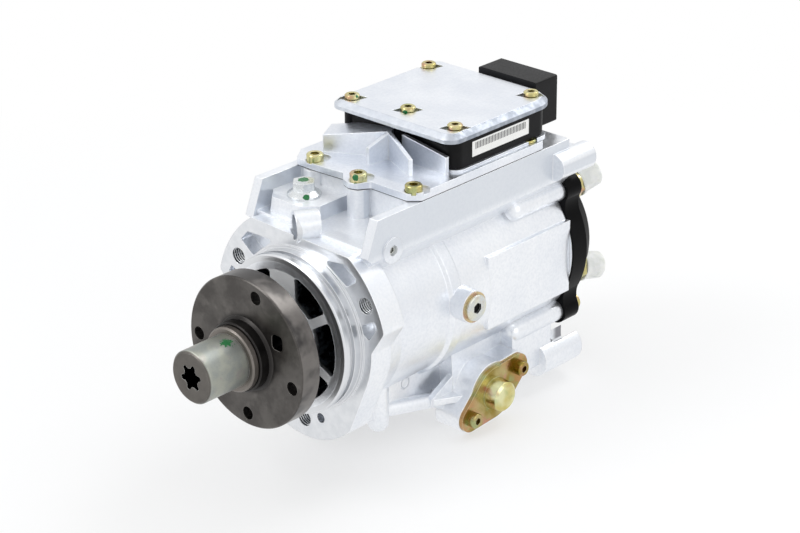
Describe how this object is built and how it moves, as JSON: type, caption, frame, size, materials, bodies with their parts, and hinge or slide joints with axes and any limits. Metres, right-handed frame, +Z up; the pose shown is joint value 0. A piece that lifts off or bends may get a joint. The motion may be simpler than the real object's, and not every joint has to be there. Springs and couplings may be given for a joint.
{
  "type": "diesel injection pump",
  "caption": "Radial piston distributor injection pump with a drive hub, mounting flange, timing device, capped delivery outlets and a control unit on top.",
  "frame": {"origin": "centre of the mounting flange's front face, on the drive shaft's axis", "axes": "-Y out of the drive end, along the shaft; +Z up, towards the control unit; +X to the side with the gold timing cover"},
  "size_m": [0.1486, 0.315, 0.1921],
  "materials": {
    "cast_housing": "die cast, bright and slightly rough",
    "cast_base": "die cast, fine grain",
    "hub_steel": "turned, burnished dark",
    "bright_steel": "ground",
    "nut_zinc": "pale zinc plate",
    "gold_zinc": "yellow passivated zinc plate",
    "dark_steel": "black, half gloss",
    "black_case": "black, fine matt",
    "connector_black": "black moulding",
    "cap_white": "translucent white",
    "seal_rubber": "black rubber",
    "bronze": "sintered bronze",
    "hard_steel": "hardened and ground",
    "spring_steel": "wound wire",
    "board_green": "circuit board with its parts",
    "pin_tin": "tinned pins",
    "gasket_grey": "sheet gasket",
    "copper_washer": "soft washer"
  },
  "bodies": {
    "housing": {"base_screws": "gold_zinc", "circuit_board": "board_green", "connector_housing": "connector_black", "connector_pins": "pin_tin", "control_unit_base": "cast_base", "control_unit_case": "black_case", "control_unit_cover": "gold_zinc", "control_unit_gasket": "gasket_grey", "control_valve_sleeve": "hard_steel", "cover_screws": "gold_zinc", "deck_plug": "gold_zinc", "delivery_fittings": "gold_zinc", "distributor_head": "dark_steel", "distributor_sleeve": "hard_steel", "dust_caps": "cap_white", "head_screws": "gold_zinc", "head_seal": "seal_rubber", "inlet_fitting": "gold_zinc", "lock_screw": "gold_zinc", "overflow_valve": "gold_zinc", "pressure_solenoid": "dark_steel", "pump_housing": "cast_housing", "shaft_bushes": "bronze", "shaft_seal": "seal_rubber", "side_plug": "nut_zinc", "side_plug_washer": "copper_washer", "spring_cover": "gold_zinc", "supply_pump_cover": "hard_steel", "supply_pump_ring": "hard_steel", "supply_pump_screws": "hard_steel", "timing_cover": "gold_zinc", "timing_screws": "gold_zinc", "timing_solenoid": "dark_steel", "timing_spring": "spring_steel"},
    "drive_line": {"drive_shaft": "bright_steel", "drive_hub": "hub_steel", "hub_key": "bright_steel", "hub_nut": "nut_zinc", "supply_pump_rotor": "hard_steel", "supply_pump_vanes": "hard_steel", "increment_wheel": "hard_steel", "drive_disc": "hard_steel", "distributor_shaft": "hard_steel"},
    "plunger_set_right": {"plunger_right": "hard_steel", "roller_and_shoe_right": "hard_steel"},
    "plunger_set_left": {"plunger_left": "hard_steel", "roller_and_shoe_left": "hard_steel"},
    "cam_ring_set": {"cam_ring": "hard_steel", "ball_pin": "hard_steel", "angle_sensor": "hard_steel"},
    "timing_piston_set": {"timing_piston": "bright_steel"},
    "solenoid_needle": {"valve_needle": "hard_steel"},
    "timing_needle": {"timing_valve_needle": "hard_steel"},
    "control_piston": {"control_valve_piston": "hard_steel"},
    "overflow_valve_ball": {"overflow_ball": "hard_steel"},
    "delivery_cone_1": {"delivery_valve_1": "hard_steel"},
    "delivery_cone_2": {"delivery_valve_2": "hard_steel"},
    "delivery_cone_3": {"delivery_valve_3": "hard_steel"},
    "delivery_cone_4": {"delivery_valve_4": "hard_steel"}
  },
  "joints": [
    {"name": "drive_shaft_spin", "type": "hinge", "parent": "housing", "child": "drive_line", "pos_m": [0, 0, 0], "axis": [0, 1, 0], "continuous": true},
    {"name": "right_plunger_stroke", "type": "slide", "parent": "drive_line", "child": "plunger_set_right", "axis": [1, 0, 0], "range_m": [0, 0.0024]},
    {"name": "left_plunger_stroke", "type": "slide", "parent": "drive_line", "child": "plunger_set_left", "axis": [-1, 0, 0], "range_m": [0, 0.0024]},
    {"name": "cam_ring_advance", "type": "hinge", "parent": "housing", "child": "cam_ring_set", "pos_m": [0, 0.1085, 0], "axis": [0, 1, 0], "range_deg": [0, 12]},
    {"name": "timing_piston_travel", "type": "slide", "parent": "housing", "child": "timing_piston_set", "axis": [1, 0, 0], "range_m": [-0.0139, 0], "deforming": ["timing_spring"]},
    {"name": "solenoid_needle_travel", "type": "slide", "parent": "housing", "child": "solenoid_needle", "axis": [0, 1, 0], "range_m": [0, 0.0004]},
    {"name": "timing_needle_travel", "type": "slide", "parent": "housing", "child": "timing_needle", "axis": [0, -1, 0], "range_m": [0, 0.0012]},
    {"name": "control_piston_travel", "type": "slide", "parent": "housing", "child": "control_piston", "axis": [0, 0, 1], "range_m": [0, 0.004]},
    {"name": "overflow_ball_travel", "type": "slide", "parent": "housing", "child": "overflow_valve_ball", "axis": [-1, 0, 0], "range_m": [0, 0.004]},
    {"name": "delivery_cone_1_lift", "type": "slide", "parent": "housing", "child": "delivery_cone_1", "axis": [0.184, 0.9563, 0.2272], "range_m": [0, 0.001]},
    {"name": "delivery_cone_2_lift", "type": "slide", "parent": "housing", "child": "delivery_cone_2", "axis": [-0.184, 0.9563, 0.2272], "range_m": [0, 0.001]},
    {"name": "delivery_cone_3_lift", "type": "slide", "parent": "housing", "child": "delivery_cone_3", "axis": [-0.2173, 0.9563, -0.1956], "range_m": [0, 0.001]},
    {"name": "delivery_cone_4_lift", "type": "slide", "parent": "housing", "child": "delivery_cone_4", "axis": [0.2173, 0.9563, -0.1956], "range_m": [0, 0.001]}
  ],
  "couplings": [
    {"joint": "left_plunger_stroke", "follows": "right_plunger_stroke", "ratio": 1},
    {"joint": "timing_piston_travel", "follows": "cam_ring_advance", "m_per_rad": -0.065879}
  ]
}
